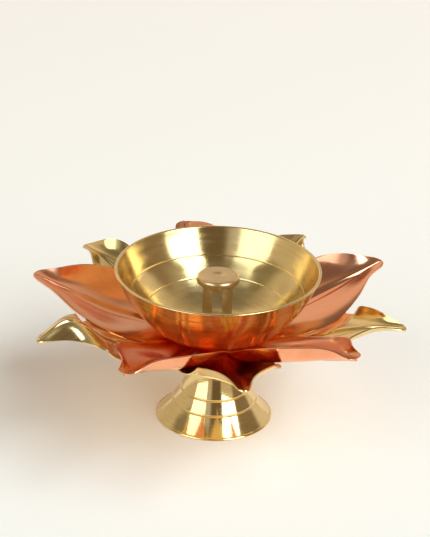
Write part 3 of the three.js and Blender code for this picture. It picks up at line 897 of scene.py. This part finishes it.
SKY_STOPS = (
    (0.5, (0.6, 0.54, 0.45)),
    (0.8, (0.6, 0.54, 0.45)),
    (0.9, (0.38, 0.34, 0.28)),
    (0.95, (0.24, 0.22, 0.19)),
    (1, (0.2, 0.18, 0.16)),
)
WALL_PATCHES = (
    (-85, 13, 7, 0.44, 0.88, (0.26, 0.24, 0.18)),
    (129, 17, 6, 0, 0.53, (0.72, 0.65, 0.58)),
    (-158, 18, 8, 0.3, 0.76, (0.82, 0.71, 0.58)),
    (89, 23, 6, -0.1, 0.72, (0.25, 0.195, 0.14)),
    (-17, 8, 4, 0.3, 0.72, (0.52, 0.54, 0.58)),
    (7, 17, 5, -0.1, 0.91, (0.16, 0.125, 0.09)),
)
PATCH_HEIGHT_EDGE = 0.08
WORLD_STRENGTH = 1
WORLD_FILL = 0.72


def make_world():
    world = bpy.data.worlds.new("room")
    bpy.context.scene.world = world
    nodes = Nodes(world)
    x, y, z = nodes.split(nodes.place("Generated"))
    azimuth = nodes.math("ARCTAN2", x, nodes.math("MULTIPLY", y, -1))

    def past(source, middle, edge):
        """Rises smoothly from 0 to 1 across the soft edge."""
        return nodes.mapped(source, middle - edge, middle + edge,
                            interpolation_type="SMOOTHSTEP")

    colour = nodes.ramp(nodes.math("MULTIPLY_ADD", z, 0.5, 0.5), SKY_STOPS)
    for middle, half_width, edge, low, high, patch_colour in WALL_PATCHES:
        offset = nodes.math("ABSOLUTE", nodes.math("SUBTRACT", azimuth, math.radians(middle)))
        beside = past(offset, math.radians(half_width), math.radians(edge))
        above = past(z, high, PATCH_HEIGHT_EDGE)
        below = nodes.math("SUBTRACT", 1, past(z, low, PATCH_HEIGHT_EDGE))
        outside = nodes.math("MAXIMUM", beside, nodes.math("MAXIMUM", above, below))
        colour = nodes.blend(outside, (*patch_colour, 1), colour)
    strength = nodes.math("MULTIPLY_ADD", nodes.watched(), WORLD_STRENGTH - WORLD_FILL,
                          WORLD_FILL)
    background = nodes.tree.nodes["Background"].inputs
    nodes.feed(colour, background["Color"])
    nodes.feed(strength, background["Strength"])


make_world()


# Lights: two bright windows in the walls, and a soft lamp at the right that throws the
# shadow but doesn't show in the metal. Angles are in degrees, azimuths from the camera's
# side towards the right

WINDOW_DISTANCE = 2
WINDOW_WHITE = (0.72, 0.88, 1)


def make_window(name, azimuths, elevations, radiance, mirrored=True):
    """An upright bright panel that spans the given angles as seen from the diya. Unless it
    is mirrored, the metal shows no image of it."""
    half_width = math.tan(math.radians(azimuths[1] - azimuths[0]) / 2) * WINDOW_DISTANCE
    low, high = (math.tan(math.radians(angle)) * WINDOW_DISTANCE for angle in elevations)
    middle = math.radians(sum(azimuths) / 2)
    panel = bpy.data.lights.new(name, "AREA")
    panel.shape = "RECTANGLE"
    panel.size = 2 * half_width
    panel.size_y = high - low
    panel.energy = radiance * math.pi * panel.size * panel.size_y
    panel.color = WINDOW_WHITE
    light = bpy.data.objects.new(name, panel)
    direction = Vector((math.sin(middle), -math.cos(middle), 0))
    light.location = direction * WINDOW_DISTANCE + Vector((0, 0, (low + high) / 2))
    light.rotation_euler = (-direction).to_track_quat("-Z", "Y").to_euler()
    light.visible_camera = False
    light.visible_glossy = mirrored
    bpy.context.scene.collection.objects.link(light)


make_window("right_window", (26, 66), (20, 62), 5)
make_window("left_window", (-68, -26), (4, 58), 1.9)
make_window("side_lamp", (66, 104), (34, 60), 6.2, mirrored=False)


# Camera

def make_camera():
    camera = bpy.data.objects.new("camera", bpy.data.cameras.new("camera"))
    back = Vector((0, -math.cos(CAMERA_ELEVATION), math.sin(CAMERA_ELEVATION)))
    level = Vector((1, 0, 0))
    above = back.cross(level)
    turn, rise = math.cos(CAMERA_ROLL), math.sin(CAMERA_ROLL)
    right = level * turn + above * rise
    up = above * turn - level * rise
    rotation = Matrix((right, up, back)).transposed()
    place = Matrix.Translation(CAMERA_AIM + back * CAMERA_DISTANCE)
    camera.matrix_world = place @ rotation.to_4x4()
    camera.data.sensor_width = SENSOR_SIZE
    camera.data.lens = CAMERA_FOCAL_PIXELS / PHOTO_LONG_SIDE * SENSOR_SIZE
    camera.data.clip_start = CLIP_NEAR
    camera.data.clip_end = CLIP_FAR
    bpy.context.scene.collection.objects.link(camera)
    bpy.context.scene.camera = camera


make_camera()

# Nested polished sheets get their deep red from light that passes between them many times
MIRROR_BOUNCES = 24

bpy.context.scene.cycles.max_bounces = MIRROR_BOUNCES
bpy.context.scene.cycles.glossy_bounces = MIRROR_BOUNCES
bpy.context.scene.view_settings.view_transform = "Standard"
